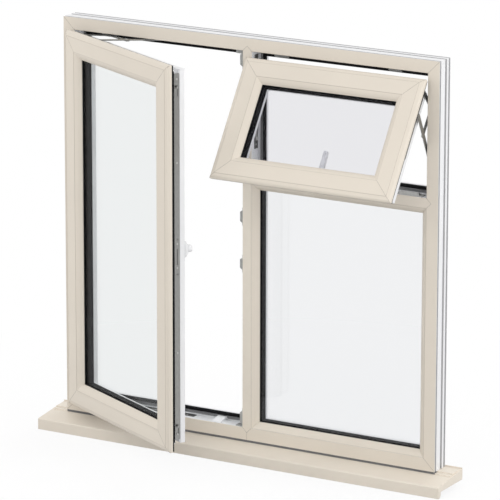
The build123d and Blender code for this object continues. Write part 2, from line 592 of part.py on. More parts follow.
SASH_W = LIGHT_LEFT[1] - LIGHT_LEFT[0] + 2 * SASH_OVERLAP
CASEMENT_H = LIGHT_TALL[1] - LIGHT_TALL[0] + 2 * SASH_OVERLAP
FANLIGHT_H = LIGHT_UPPER[1] - LIGHT_UPPER[0] + 2 * SASH_OVERLAP
STILE_MIDDLE = (SASH_INSET + SASH_REBATE + SASH_UPSTAND) / 2
swing = radians(CASEMENT_ANGLE)
tilt = radians(FANLIGHT_ANGLE)
hinge_x = SASH_W / 2 - SASH_OVOLO_W
casement_at = Pos(CASEMENT_HINGE[0] + hinge_x * cos(swing), CASEMENT_HINGE[1] - hinge_x * sin(swing),
                  sum(LIGHT_TALL) / 2) * Rot(0, 0, -CASEMENT_ANGLE)
fan_y = FANLIGHT_TOP[0] - SASH_OVOLO_D * cos(tilt) - FANLIGHT_H / 2 * sin(tilt)
fan_z = FRAME_Z0 + FANLIGHT_TOP[1] + SASH_OVOLO_D * sin(tilt) - FANLIGHT_H / 2 * cos(tilt)
fanlight_at = Pos(sum(LIGHT_RIGHT) / 2, fan_y, fan_z) * Rot(-FANLIGHT_ANGLE, 0, 0)

build_cill()
build_frame()
build_opening_seal("casement_opening_seal", LIGHT_LEFT, LIGHT_TALL)
build_opening_seal("fanlight_opening_seal", LIGHT_RIGHT, LIGHT_UPPER)
build_glazing("fixed_light", LIGHT_RIGHT, LIGHT_LOWER, FIXED_GLASS_Y, UPSTAND_Y, FIXED_BEAD, Location())
build_sash("casement", (SASH_W, CASEMENT_H), casement_at,
           {"left": "hinge_stile", "right": "lock_stile", "top": "top_rail", "bottom": "bottom_rail"})
build_sash("fanlight", (SASH_W, FANLIGHT_H), fanlight_at,
           {"left": "left_stile", "right": "right_stile", "top": "top_rail", "bottom": "lock_rail"})
build_lock("casement_lock", SASH_W / 2, CASEMENT_PLATE, CASEMENT_CAMS, CASEMENT_GEARBOX, casement_at)
build_lock("fanlight_lock", FANLIGHT_H / 2, FANLIGHT_PLATE, FANLIGHT_CAMS, 0.0, fanlight_at * Rot(0, 90, 0))
build_handle("casement", casement_at * Pos(SASH_W / 2 - STILE_MIDDLE, 0, CASEMENT_HANDLE_Z))
build_handle("fanlight", fanlight_at * Pos(0, 0, STILE_MIDDLE - FANLIGHT_H / 2) * Rot(0, 90, 0))
build_stays()
build_keeps()

os.makedirs("parts", exist_ok=True)
for node, solid in made.items():
    solid.label = node
    export_step(solid, f"parts/{node}.step")
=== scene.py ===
"""Studio scene of the uPVC window: materials, glazing beads, weld lines and other marks of painted shade,
fasteners, light and camera.

Pieces are placed in metres, in the model's own frame: X along the window, Y from outside to inside, Z up.
Sections, fittings and their places on the window are named in millimetres.
"""

import json
from math import cos, pi, radians, sin

import bmesh
import bpy
from mathutils import Matrix, Vector


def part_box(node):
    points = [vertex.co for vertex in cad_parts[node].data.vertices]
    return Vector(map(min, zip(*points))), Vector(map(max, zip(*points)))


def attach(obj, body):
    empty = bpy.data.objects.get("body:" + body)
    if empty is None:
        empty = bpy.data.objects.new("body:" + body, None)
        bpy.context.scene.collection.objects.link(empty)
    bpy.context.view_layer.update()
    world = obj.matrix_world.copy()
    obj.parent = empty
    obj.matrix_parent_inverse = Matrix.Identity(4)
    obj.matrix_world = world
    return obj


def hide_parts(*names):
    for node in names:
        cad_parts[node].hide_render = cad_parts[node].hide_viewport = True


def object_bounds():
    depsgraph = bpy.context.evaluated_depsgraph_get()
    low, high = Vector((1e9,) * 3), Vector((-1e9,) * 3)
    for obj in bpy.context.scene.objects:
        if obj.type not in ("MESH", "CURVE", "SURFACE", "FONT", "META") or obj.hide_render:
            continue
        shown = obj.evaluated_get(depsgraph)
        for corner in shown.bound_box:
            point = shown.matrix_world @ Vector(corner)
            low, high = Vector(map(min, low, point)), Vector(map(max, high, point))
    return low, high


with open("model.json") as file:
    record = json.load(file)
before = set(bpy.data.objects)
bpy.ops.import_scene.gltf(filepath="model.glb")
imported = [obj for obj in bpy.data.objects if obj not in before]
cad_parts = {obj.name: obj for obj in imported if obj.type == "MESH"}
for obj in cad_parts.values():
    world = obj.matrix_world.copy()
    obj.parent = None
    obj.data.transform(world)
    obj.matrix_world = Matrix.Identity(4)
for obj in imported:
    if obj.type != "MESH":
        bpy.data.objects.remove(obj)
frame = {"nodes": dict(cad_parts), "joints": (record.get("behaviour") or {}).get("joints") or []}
cad_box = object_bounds()
nodes = frame["nodes"]
MM = 0.001

# Camera, fitted to the photograph: lens in millimetres, distances in metres, angles in degrees
LENS = 311.3
SENSOR = 36.0
CLIP_END = 200.0
CAMERA_DISTANCE = 13.3776
CAMERA_TARGET = Vector((0.01112, 0.0, 0.65122))
CAMERA_AZIMUTH = 29.743
CAMERA_ELEVATION = 14.887
CAMERA_ROLL = 0.09

# Light: place, aim and size of each lamp in metres with its power in watts, and the world's level
LAMPS = {
    "front": ((0.8, -2.2, 2.0), (0.0, 0.0, 1.0), 1.2, 9.0),
    "right": ((3.6, -0.8, 1.6), (0.0, 0.0, 1.0), 1.8, 35.0),
    "left": ((-3.3, -1.7, 1.6), (0.0, 0.0, 1.0), 1.8, 28.0),
    "rear": ((0.5, 4.0, 2.6), (0.0, 0.0, 0.8), 2.5, 45.0),
}
WORLD_LIGHT = 0.84

# Floor: reach in metres, tone for bounced light, tone of the share that takes shadow, plain white share
FLOOR_REACH = 30.0
FLOOR_BOUNCE = (0.55, 0.55, 0.55)
FLOOR_SEEN = (0.9, 0.9, 0.9)
FLOOR_WHITE = 0.86              # share of plain white beside the object
FLOOR_NEAR = 0.7                # the share rises from this distance to the origin, in metres
FLOOR_FAR = 1.6                 # and is whole from this one

# Frame section, from its outer edge and back from its face
FRAME_FACE = 40.0
FRAME_DEPTH = 70.0
POST_FACE = 32.0
HALF_POST = POST_FACE / 2
FRAME_FOIL_DEPTH = 1.4
SOCKET_DEPTH = (0.4, 7.6)       # grooves along the frame's hidden edge, whose faces carry painted shade

# Frame upstand that carries the weather seals: height above the rebate, depth, the seal's height, and the
# dark strip of painted shade below it
UPSTAND_H = 22.0
UPSTAND_Y = 57.0
SEAL_H = 11.5
SEAL_SHADE_T = 1.2
SEAL_SHADE_SUNK = 0.1
SEAL_SHADE_GAP = 0.3

# Sash section, in from the lip and back from the flat face
OVOLO = ((0.0, 10.5), (2.4, 6.4), (5.4, 4.3), (9.6, 2.7), (14.4, 1.2), (15.0, 0.0))
SASH_REBATE = 54.0
SASH_INSET = 20.0
SASH_DEPTH = 75.0
SASH_REAR_FACE = 76.0
SASH_FOIL_DEPTH = 18.6          # foil covers the sash as far back as the rear of the lip
FACEPLATE_FACE = 20.5           # faceplate's face in from the lip
FACEPLATE_DEPTH = 48.0
LIP_SEAL_SHADE_DEPTHS = (24.0, 38.0)   # black strip beside the faceplate: the lip seal's leg, and painted shade under the lip
LIP_SEAL_SHADE_GAP = 24.0              # from its ends to the stile's
LIP_SEAL_SHADE_T = 0.4
LIP_SEAL_SHADE_ROUND = 0.15

# Sashes: width, height and the place of the handle's turning point on the sash
SASH_SIZES = {"casement": (620.5, 1219.0), "fanlight": (620.5, 399.0)}
HANDLE_PLACES = {"casement": (262.25, 85.0, 18.0), "fanlight": (0.0, 85.0, -151.5)}

# Glazing beads: width over the rebate, and the section of the sashes' beads
FIXED_BEAD = 20.5
SASH_BEADS = {"casement": 28.5, "fanlight": 25.0}
BEAD_FLAT_END = 60.0            # bead's flat, level with the sash's face, ends here in from the lip
BEAD_LAP = 1.4                  # flat laps the sash's rounded edge
BEAD_PROUD = 0.05
BEAD_QUIRK = (0.6, 1.0)         # step between the bead's flat and its bevel
BEAD_BEVEL = 13.0
BEAD_LIP = 1.5
BEAD_SWELL = 1.6
BEAD_REAR = 18.0
BEAD_STEPS = 8

# Casement's spacer and gaskets: depths back from the flat, height, and reach past the bead
SPACER_DEPTHS = (26.0, 46.0)
SPACER_H = 12.0
SPACER_SHOWS = 2.0
GASKET_DEPTHS = ((22.0, 18.0), (50.0, 54.0))    # at the pane and away from it
GASKET_H = 6.0
GASKET_SHOWS = 1.0
GASKET_NOSE = 1.5

# Colours as linear values, and shades of them
CREAM = (0.745, 0.680, 0.590)
WHITE = (0.850, 0.853, 0.865)
BLACK = (0.010, 0.010, 0.011)
ZINC = (0.345, 0.345, 0.336)
SEAL_GREY = (0.150, 0.150, 0.153)
# painted shade: grey of the dark strip below the weather seals
SEAL_SHADE_GREY = (0.220, 0.220, 0.224)
# painted shade: grey laid on the faces in the frame's grooves
SOCKET_SHADE_GREY = (0.580, 0.580, 0.588)
GLASS = {                       # tint and refractive index; tints differ per pane as painted shade for how dark each pane looks
    "fixed_light": ((0.934, 0.938, 0.944), 1.32),
    "casement": ((0.922, 0.932, 0.932), 1.12),
    "fanlight": ((0.900, 0.900, 0.912), 1.12),
}
# painted shade: the stay tracks' zinc is darkened for the shade of the rebate they lie in
TRACK_SHADE = 0.5
KEEP_SHADE = 1.15
FASTENER_SHADE = 1.65
HANDLE_SHADE = 1.04
CILL_LIGHT_LIFT = 1.07               # painted light: the cill's cream is lifted above the frame's for the light the cill catches
# painted shade of the weld grooves, on thin strips laid over the welds
WELD_GROOVE_SHADE = 0.50
LINE_SHADE = 0.80               # painted shade: fine dark lines along the quirk and the bead joints
LINE_HALF = 0.8
FRAME_JOINT = 0.6               # painted shade line where the fixed light's bead meets the frame
TONE_SPREAD = (0.985, 1.01)     # slight change of tone in foil and plastic
PLASTIC_GLOSS = (-0.04, 0.04)   # change of roughness about its own value
STEEL_GLOSS = (-0.07, 0.08)
RAMP_ENDS = (0.3, 0.7)
EVEN = (1.0, 1.0, 1.0)
ALONG_X = (0.03, 1.0, 1.0)      # grain stretched along X
ALONG_Z = (1.0, 1.0, 0.03)
ROLLED = (1.0, 1.0, 0.12)       # rolling marks of steel

# Order of the materials on frame and sash lengths, and limits of a normal's Y for their faces
WHITE_SLOT, FOIL_SLOT, SOCKET_SHADE_SLOT = range(3)
LOOKS_OUT = -0.3
LOOKS_IN = 0.9

# Rounds on hard edges, in metres and radians
EDGE_SOFTENING = 0.5 * MM
SOFT_STEPS = 2
MERGE_DISTANCE = 0.01 * MM
FLAT_ANGLE = radians(0.5)
HARD_ANGLE = radians(25)

# Weld lines, dark strips of painted shade over the weld grooves: width and thickness, and how far they
# stop short of an edge
WELD_LINE = (0.9, 0.24)
WELD_INSET = 1.2

# Turned heads: shares of the radius, and heights above the surface
TURNED_SIDES = 16
SCREW_R = 3.4
SCREW_HEAD = ((1.0, -0.2), (1.0, 0.5), (0.82, 1.05), (0.6, 1.25))
SCREW_RECESS = 0.52             # reach of the cross recess, as a share of the radius
RECESS_DEPTH = 0.5              # depth and waist of the recess, as shares of its reach
RECESS_WAIST = 0.36
RECESS_ARMS = 4
RIVET_R = 5.2
RIVET_HEAD = ((1.0, -0.2), (1.0, 0.3), (0.86, 0.75), (0.5, 1.15), (0.12, 1.25))

# Places of the screws and rivets along the part that they hold
LOCK_SCREWS = {
    "casement": (560.0, 300.0, 46.0, -30.0, -300.0, -560.0),
    "fanlight": (225.0, 130.0, 38.0, -38.0, -130.0, -225.0),
}
TRACK_Y = 27.0
TRACK_SHEET = 0.8
TRACK_SCREWS = {"casement": (30.0, 210.0, 390.0), "fanlight": (40.0, 200.0, 297.0)}
STAY_RIVETS = {                 # with the level of each head above the rebate
    "casement": ((304.5, 5.0), (92.5, 7.6), (132.5, 10.2)),
    "fanlight": ((277.5, 5.0), (128.9, 7.6), (97.6, 10.2)),
}

# Keeps: plate, screws, holes in the corner keep's level leg as black discs of painted shade, and the rib
# in the casement's head corner
KEEP_PLATE_T = 3.0
KEEP_SCREW_Y = 20.5
KEEP_SCREW_END = 11.0           # from a keep's end to its screw
MULLION_KEEPS = ((724.0, 782.0), (574.0, 630.0))    # lower and upper ends
CORNER_KEEP = (18.0, 46.0)      # screws up the corner keep's upright leg
TRANSOM_KEEP = (32.0, 61.0, 90.0)    # screws in from the jamb
KEEP_HOLES = ((-37.0, 19.0), (-24.0, 8.0))    # along the window and back
KEEP_HOLE = ((3.6, -0.3), (3.6, 0.1), (2.9, 0.1), (2.9, -0.1))    # radius and height
HEAD_RIB = (26.0, 11.0)         # length and drop
HEAD_RIB_Y = (4.0, 13.0)
HEAD_RIB_GAP = 0.2              # from the mullion
HEAD_RIB_ROUND = 1.2
SEATING = 0.2                   # blocks sink this far into what carries them

# Handle: base plate's face, covers over its fixings, lever's button
BASE_FACE = 85.0
COVER_AT = 36.5
COVER_R = 4.6
COVER_HEAD = ((1.0, -0.3), (1.0, 0.35), (0.85, 0.7), (0.4, 0.9))
BUTTON_AT = -21.0
BUTTON_FACE = 113.4
BUTTON_R = 5.6
BUTTON_HEAD = ((1.0, -1.5), (1.0, 0.4), (0.8, 0.9), (0.72, 0.9), (0.66, 0.5), (0.3, 0.5))


def joint_frame(name):
    """Turning point and inward normal of the sash that carries a handle."""
    joint = next(j for j in frame["joints"] if j["name"] == name)
    normal = Vector(joint["axis"]).normalized()
    if normal.y < 0:
        normal = -normal
    return Vector(joint["pos_m"]), normal


def sash_place(name):
    """Matrix from a sash's own axes, with the origin in the middle of its flat face, to the window's."""
    hub, inward = joint_frame(f"{name}_handle_turn")
    along = Vector((inward.y, -inward.x, 0.0)).normalized()
    up = along.cross(inward)
    turn = Matrix((along, inward, up)).transposed()
    origin = hub - turn @ (Vector(HANDLE_PLACES[name]) * MM)
    return Matrix.Translation(origin) @ turn.to_4x4()


def frame_sizes():
    """Limits of the frame's face and the middle of the transom, in millimetres."""
    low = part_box("frame_left_jamb")[0] / MM
    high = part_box("frame_right_jamb")[1] / MM
    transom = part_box("transom")
    return (low.x, high.x), (low.z, high.z), (transom[0].z + transom[1].z) / 2 / MM


def rectangle(across, upright):
    """Matrix at the middle of a rectangle on the frame's face, and its size; limits in millimetres."""
    middle = Vector((sum(across) / 2, 0.0, sum(upright) / 2))
    return Matrix.Translation(middle * MM), (across[1] - across[0], upright[1] - upright[0])


SASHES = {name: sash_place(name) for name in SASH_SIZES}
FRAME_X, FRAME_Z, TRANSOM = frame_sizes()
OPEN_LEFT, OPEN_RIGHT = FRAME_X[0] + FRAME_FACE, FRAME_X[1] - FRAME_FACE
OPEN_FOOT, OPEN_HEAD = FRAME_Z[0] + FRAME_FACE, FRAME_Z[1] - FRAME_FACE


def shade(colour, factor):
    """Colour made darker or lighter."""
    return tuple(channel * factor for channel in colour)


class Shader:
    """Small helper that wires a node material."""

    def __init__(self, name):
        self.material = bpy.data.materials.new(name)
        self.material.use_nodes = True
        self.tree = self.material.node_tree
        self.bsdf = self.tree.nodes["Principled BSDF"]
        self.output = self.tree.nodes["Material Output"]

    def add(self, kind, **values):
        """New node with its input sockets set by name, where _ stands for a space."""
        node = self.tree.nodes.new(kind)
        for name, value in values.items():
            node.inputs[name.replace("_", " ")].default_value = value
        return node

    def link(self, source, target):
        """Wire an output to an input."""
        self.tree.links.new(source, target)

    def surface(self, **values):
        """Constant values of the main shader, where _ stands for a space."""
        for name, value in values.items():
            self.bsdf.inputs[name.replace("_", " ")].default_value = value

    def drive(self, name, source):
        """Wire an output to an input of the main shader."""
        self.link(source, self.bsdf.inputs[name])

    def noise(self, scale, stretch=EVEN):
        """Noise in object coordinates, stretched per axis."""
        coords = self.add("ShaderNodeTexCoord")
        mapping = self.add("ShaderNodeMapping", Scale=stretch)
        node = self.add("ShaderNodeTexNoise", Scale=scale, Detail=3.0)
        self.link(coords.outputs["Object"], mapping.inputs["Vector"])
        self.link(mapping.outputs["Vector"], node.inputs["Vector"])
        return node.outputs["Fac"]

    def ramp(self, fac, colour, spread):
        """Ramp between two shades of a colour."""
        node = self.add("ShaderNodeValToRGB")
        for index, (position, factor) in enumerate(zip(RAMP_ENDS, spread)):
            element = node.color_ramp.elements[index]
            element.position = position
            element.color = (*shade(colour, factor), 1.0)
        self.link(fac, node.inputs["Fac"])
        return node.outputs["Color"]

    def spread(self, fac, low, high):
        """Value mapped from 0..1 to a range."""
        node = self.add("ShaderNodeMapRange", To_Min=low, To_Max=high)
        self.link(fac, node.inputs["Value"])
        return node.outputs["Result"]

    def math(self, operation, *values):
        """Result of a sum on sockets and plain numbers."""
        node = self.add("ShaderNodeMath")
        node.operation = operation
        for socket, value in zip(node.inputs, values):
            if isinstance(value, (int, float)):
                socket.default_value = value
            else:
                self.link(value, socket)
        return node.outputs[0]

    def bump(self, height, strength, distance):
        """Fine relief on the surface."""
        node = self.add("ShaderNodeBump", Strength=strength, Distance=distance)
        self.link(height, node.inputs["Height"])
        self.drive("Normal", node.outputs["Normal"])


def joint_shade_lines(made, place, size, distances):
    """One on the lines of painted shade at given distances in from the edge of a rectangle, else nought.
    """
    coords = made.add("ShaderNodeTexCoord")
    mapping = made.add("ShaderNodeMapping", Location=place.to_translation(), Rotation=place.to_euler())
    mapping.vector_type = "TEXTURE"
    made.link(coords.outputs["Object"], mapping.inputs["Vector"])
    split = made.add("ShaderNodeSeparateXYZ")
    made.link(mapping.outputs["Vector"], split.inputs[0])
    margins = []
    for axis, length in zip("XZ", size):
        flat = made.math("ABSOLUTE", split.outputs[axis])
        margins.append(made.math("SUBTRACT", length / 2 * MM, flat))
    margin = made.math("MINIMUM", *margins)
    found = None
    for distance in distances:
        line = made.math("COMPARE", margin, distance * MM, LINE_HALF * MM)
        found = line if found is None else made.math("MAXIMUM", found, line)
    return found


def foil(name, colour, grain, lines=None):
    """Embossed foil: faint streaks along the profile, a satin face and darker lines of painted shade along
    its joints.
    """
    made = Shader(name)
    streaks = made.noise(scale=900.0, stretch=grain)
    tone = made.ramp(made.noise(scale=7.0), colour, TONE_SPREAD)
    if lines:
        # lines of painted shade along the quirk and the bead joints
        mix = made.add("ShaderNodeMixRGB", Color2=(*shade(colour, LINE_SHADE), 1.0))
        made.link(joint_shade_lines(made, *lines), mix.inputs["Fac"])
        made.link(tone, mix.inputs["Color1"])
        tone = mix.outputs["Color"]
    made.drive("Base Color", tone)
    made.drive("Roughness", made.spread(streaks, low=0.40, high=0.50))
    made.surface(IOR=1.46, Specular_IOR_Level=0.35)
    made.bump(streaks, strength=0.06, distance=0.0002)
    return made.material


def moulded(name, colour, roughness, shine=0.4):
    """Smooth moulded or extruded plastic with a slight change of tone and gloss."""
    made = Shader(name)
    flow = made.noise(scale=12.0)
    made.drive("Base Color", made.ramp(flow, colour, TONE_SPREAD))
    made.drive("Roughness", made.spread(flow, *(roughness + change for change in PLASTIC_GLOSS)))
    made.surface(IOR=1.5, Specular_IOR_Level=shine)
    made.bump(made.noise(scale=2500.0), strength=0.05, distance=0.00005)
    return made.material


def rubber(name, colour):
    """Weather seal: matt, with a fine grain."""
    made = Shader(name)
    grain = made.noise(scale=1800.0)
    made.drive("Base Color", made.ramp(grain, colour, spread=(0.7, 1.6)))
    made.drive("Roughness", made.spread(grain, low=0.55, high=0.75))
    made.surface(IOR=1.5, Specular_IOR_Level=0.06)
    made.bump(grain, strength=0.2, distance=0.0002)
    return made.material


def plated(name, colour, roughness):
    """Zinc-plated or stainless steel with rolling marks."""
    made = Shader(name)
    marks = made.noise(scale=700.0, stretch=ROLLED)
    made.drive("Base Color", made.ramp(marks, colour, spread=(0.85, 1.12)))
    made.drive("Roughness", made.spread(marks, *(roughness + change for change in STEEL_GLOSS)))
    made.surface(Metallic=1.0)
    made.bump(marks, strength=0.1, distance=0.0002)
    return made.material


def float_glass(name, tint, index):
    """Clear glass that lets light through to what stands behind it."""
    made = Shader(name)
    made.surface(Base_Color=(*tint, 1.0), Roughness=0.0, IOR=index, Transmission_Weight=1.0)
    clear = made.add("ShaderNodeBsdfTransparent", Color=(*tint, 1.0))
    mix = made.add("ShaderNodeMixShader")
    rays = made.add("ShaderNodeLightPath")
    made.link(rays.outputs["Is Shadow Ray"], mix.inputs["Fac"])
    made.link(made.bsdf.outputs["BSDF"], mix.inputs[1])
    made.link(clear.outputs["BSDF"], mix.inputs[2])
    made.link(mix.outputs["Shader"], made.output.inputs["Surface"])
    return made.material


# Materials
fixed_light = rectangle((HALF_POST, OPEN_RIGHT), (OPEN_FOOT, TRANSOM - HALF_POST))
fixed_lines = (*fixed_light, (FRAME_JOINT, FIXED_BEAD))
cream_level = foil("cream_foil_level", CREAM, ALONG_X, fixed_lines)
cream_upright = foil("cream_foil_upright", CREAM, ALONG_Z, fixed_lines)
sash_creams = {}
for sash, size in SASH_SIZES.items():
    lines = (SASHES[sash], size, (OVOLO[-1][0], BEAD_FLAT_END))
    sash_creams[sash] = (foil(f"cream_{sash}_level", CREAM, ALONG_X, lines),
                         foil(f"cream_{sash}_upright", CREAM, ALONG_Z, lines))
# painted light: the cill's cream is lighter than the frame's
cill_cream = foil("cream_cill", shade(CREAM, CILL_LIGHT_LIFT), ALONG_X)
# weld lines: painted shade of the weld grooves
weld_shade_cream = foil("cream_weld_shade_line", shade(CREAM, WELD_GROOVE_SHADE), EVEN)
white_upvc = moulded("white_upvc", WHITE, roughness=0.30)
weld_shade_white = moulded("white_weld_shade_line", shade(WHITE, WELD_GROOVE_SHADE), roughness=0.4)
white_handle = moulded("white_handle", shade(WHITE, HANDLE_SHADE), roughness=0.22)
# painted shade for the frame's grooves
socket_shade = moulded("socket_shade", SOCKET_SHADE_GREY, roughness=0.5, shine=0.2)
black_spacer = moulded("black_spacer", BLACK, roughness=0.7, shine=0.06)
black_rubber = rubber("black_rubber", BLACK)
grey_rubber = rubber("grey_rubber", SEAL_GREY)
# dark strip of painted shade below the weather seals
seal_shade_rubber = rubber("seal_shade_strip_rubber", SEAL_SHADE_GREY)
zinc = plated("zinc_steel", ZINC, roughness=0.38)
# stay tracks: zinc darkened as painted shade
shaded_track_zinc = plated("shaded_track_zinc", shade(ZINC, TRACK_SHADE), roughness=0.42)
pale_zinc = plated("pale_zinc", shade(ZINC, KEEP_SHADE), roughness=0.38)
bright_zinc = plated("bright_zinc", shade(ZINC, FASTENER_SHADE), roughness=0.32)
glasses = {name: float_glass(f"clear_glass_{name}", *values) for name, values in GLASS.items()}


def paint(node, *materials):
    """Give a CAD node its materials."""
    slots = nodes[node].data.materials
    slots.clear()
    for material in materials:
        slots.append(material)


def paint_by_face(node, foiled, choose):
    """White plastic, foil or the grey of painted shade in hidden grooves, as the rule picks for each face.
    """
    paint(node, white_upvc, foiled, socket_shade)
    for polygon in nodes[node].data.polygons:
        polygon.material_index = choose(polygon.center, polygon.normal)


def frame_rule(centre, normal):
    """Foil on the frame's outer face, grey of painted shade in the grooves of its hidden edge."""
    if centre.y < FRAME_FOIL_DEPTH * MM and normal.y < LOOKS_OUT:
        return FOIL_SLOT
    edges = (centre.x - FRAME_X[0] * MM, FRAME_X[1] * MM - centre.x,
             centre.z - FRAME_Z[0] * MM, FRAME_Z[1] * MM - centre.z)
    grooved = SOCKET_DEPTH[0] * MM < min(edges) < SOCKET_DEPTH[1] * MM
    return SOCKET_SHADE_SLOT if grooved else WHITE_SLOT


def sash_rule(sash):
    """Rule that foils a sash's faces from the flat back to the rear of its lip."""
    to_sash = SASHES[sash].inverted()
    turn = to_sash.to_3x3()

    def rule(centre, normal):
        foiled = (to_sash @ centre).y < SASH_FOIL_DEPTH * MM and (turn @ normal).y < LOOKS_IN
        return FOIL_SLOT if foiled else WHITE_SLOT
    return rule


def soften(node):
    """Small rounds on a CAD node's hard edges."""
    piece = nodes[node]
    weld = piece.modifiers.new("merge", "WELD")
    weld.merge_threshold = MERGE_DISTANCE
    plain = piece.modifiers.new("plain", "DECIMATE")
    plain.decimate_type = "DISSOLVE"
    plain.angle_limit = FLAT_ANGLE
    plain.delimit = {"MATERIAL"}
    bevel = piece.modifiers.new("soften", "BEVEL")
    bevel.width = EDGE_SOFTENING
    bevel.segments = SOFT_STEPS
    bevel.limit_method = "ANGLE"
    bevel.angle_limit = HARD_ANGLE
    bevel.harden_normals = True


def dress_members():
    """Frame, sash and cill lengths: foil outside, white plastic elsewhere, with grey of painted shade in
    the frame's grooves.
    """
    for node in ("frame_head", "frame_bottom_rail", "transom"):
        paint_by_face(node, cream_level, frame_rule)
    for node in ("frame_left_jamb", "frame_right_jamb", "mullion"):
        paint_by_face(node, cream_upright, frame_rule)
    for sash, uprights, levels in (
        ("casement", ("hinge_stile", "lock_stile"), ("top_rail", "bottom_rail")),
        ("fanlight", ("left_stile", "right_stile"), ("top_rail", "lock_rail")),
    ):
        level, upright = sash_creams[sash]
        for part in uprights:
            paint_by_face(f"{sash}_{part}", upright, sash_rule(sash))
        for part in levels:
            paint_by_face(f"{sash}_{part}", level, sash_rule(sash))
    paint("fixed_light_beads", cream_level)
    for node in ("cill", "cill_end_caps"):
        paint(node, cill_cream)


def dress_rest():
    """Seals, glazing, hardware and handles."""
    for name, glass in glasses.items():
        paint(f"{name}_panes", glass)
    for name in ("fanlight", "fixed_light"):
        paint(f"{name}_spacer", black_spacer)
        paint(f"{name}_gaskets", black_rubber)
    for node in nodes:
        if node.endswith("_seal"):
            paint(node, black_rubber)
    paint("cill_seal", grey_rubber)
    for name in SASH_SIZES:
        paint(f"{name}_lock", zinc)
        paint(f"{name}_stay_arms", zinc)
        paint(f"{name}_stay_tracks", shaded_track_zinc)
        paint(f"{name}_keeps", pale_zinc)
        paint(f"{name}_handle_base", white_handle)
        paint(f"{name}_handle", white_handle)
    paint("packer_block", white_upvc)


def new_piece(name, mesh, material, body="window"):
    """Finish a mesh as a piece that rides on a body."""
    data = bpy.data.meshes.new(name)
    mesh.to_mesh(data)
    mesh.free()
    data.materials.append(material)
    piece = bpy.data.objects.new(name, data)
    bpy.context.scene.collection.objects.link(piece)
    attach(piece, body)
    return piece


def add_ring(mesh, place, size, section):
    """Mitred frame round a rectangle, from a closed section: in from its edge, back from its plane."""
    rings = []
    for inwards, back in section:
        half_x, half_z = (length / 2 - inwards for length in size)
        corners = ((-half_x, -half_z), (half_x, -half_z), (half_x, half_z), (-half_x, half_z))
        rings.append([mesh.verts.new(place @ (Vector((x, back, z)) * MM)) for x, z in corners])
    for ring, after in zip(rings, rings[1:] + rings[:1]):
        for corner in range(4):
            follow = (corner + 1) % 4
            mesh.faces.new((ring[corner], ring[follow], after[follow], after[corner]))
    bmesh.ops.recalc_face_normals(mesh, faces=mesh.faces)


def bead_section(width):
    """Outline of a sash bead, in from the lip and back from the flat: flat, quirk, crowned bevel, lip."""
    sight = SASH_REBATE + width
    start = Vector((BEAD_FLAT_END + BEAD_QUIRK[0], BEAD_QUIRK[1]))
    end = Vector((sight - BEAD_LIP, BEAD_BEVEL))
    run = end - start
    outward = Vector((run.y, -run.x)).normalized()
    section = [(SASH_REBATE - BEAD_LAP, -BEAD_PROUD), (BEAD_FLAT_END, -BEAD_PROUD)]
    for step in range(BEAD_STEPS + 1):
        share = step / BEAD_STEPS
        crown = 4 * share * (1 - share)    # one in the middle of the bevel, nought at its ends
        section.append(start + run * share + outward * BEAD_SWELL * crown)
    section += [(sight, BEAD_BEVEL + BEAD_LIP), (sight, BEAD_REAR), (SASH_REBATE, BEAD_REAR)]
    return section + [(SASH_REBATE, BEAD_LAP), (SASH_REBATE - BEAD_LAP, BEAD_PROUD)]


def build_sash_beads():
    """Beads of both sashes, whose flat widens the sash's face as far as the photograph shows."""
    for sash, width in SASH_BEADS.items():
        mesh = bmesh.new()
        add_ring(mesh, SASHES[sash], SASH_SIZES[sash], bead_section(width))
        piece = new_piece(f"{sash}_bead_frame", mesh, sash_creams[sash][0])
        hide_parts(f"{sash}_beads")


def build_casement_glazing():
    """Spacer and gaskets of the casement, as far in as its bead."""
    place, size = SASHES["casement"], SASH_SIZES["casement"]
    sight = SASH_REBATE + SASH_BEADS["casement"]
    high = sight + SPACER_SHOWS
    low = high - SPACER_H
    front, back = SPACER_DEPTHS
    mesh = bmesh.new()
    add_ring(mesh, place, size, ((low, front), (high, front), (high, back), (low, back)))
    piece = new_piece("casement_spacer_bar", mesh, black_spacer)
    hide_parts("casement_spacer")
    high = sight + GASKET_SHOWS
    low = high - GASKET_H
    mesh = bmesh.new()
    for pane, away in GASKET_DEPTHS:
        nose = away + (GASKET_NOSE if pane > away else -GASKET_NOSE)
        section = ((low, pane), (low, away), (high - GASKET_NOSE, away), (high, nose), (high, pane))
        add_ring(mesh, place, size, section)
    piece = new_piece("casement_gasket_frame", mesh, black_rubber)
    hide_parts("casement_gaskets")


def add_strip(mesh, start, end, across, outward, place):
    """Thin flat strip from point to point, half sunk in the surface below it; points in millimetres."""
    width, thickness = WELD_LINE
    side = Vector(across).normalized() * width / 2
    lift = Vector((0, outward, 0)) * thickness / 2
    corners = []
    for point in (Vector(start), Vector(end)):
        for sideways, upwards in ((-1, -1), (1, -1), (1, 1), (-1, 1)):
            spot = place @ ((point + side * sideways + lift * upwards) * MM)
            spot.y = max(spot.y, cad_box[0].y)
            corners.append(mesh.verts.new(spot))
    for a, b in ((0, 1), (1, 2), (2, 3), (3, 0)):
        mesh.faces.new((corners[a], corners[b], corners[b + 4], corners[a + 4]))
    mesh.faces.new(corners[3::-1])
    mesh.faces.new(corners[4:])


def add_mitres(mesh, place, size, section, outward=-1):
    """Weld lines of painted shade over a section at the four corners of a rectangle."""
    half_width, half_height = (length / 2 for length in size)
    for sx in (-1, 1):
        for sz in (-1, 1):
            points = [(sx * (half_width - w), y, sz * (half_height - w)) for w, y in section]
            for start, end in zip(points, points[1:]):
                add_strip(mesh, start, end, (1, 0, -sx * sz), outward, place)


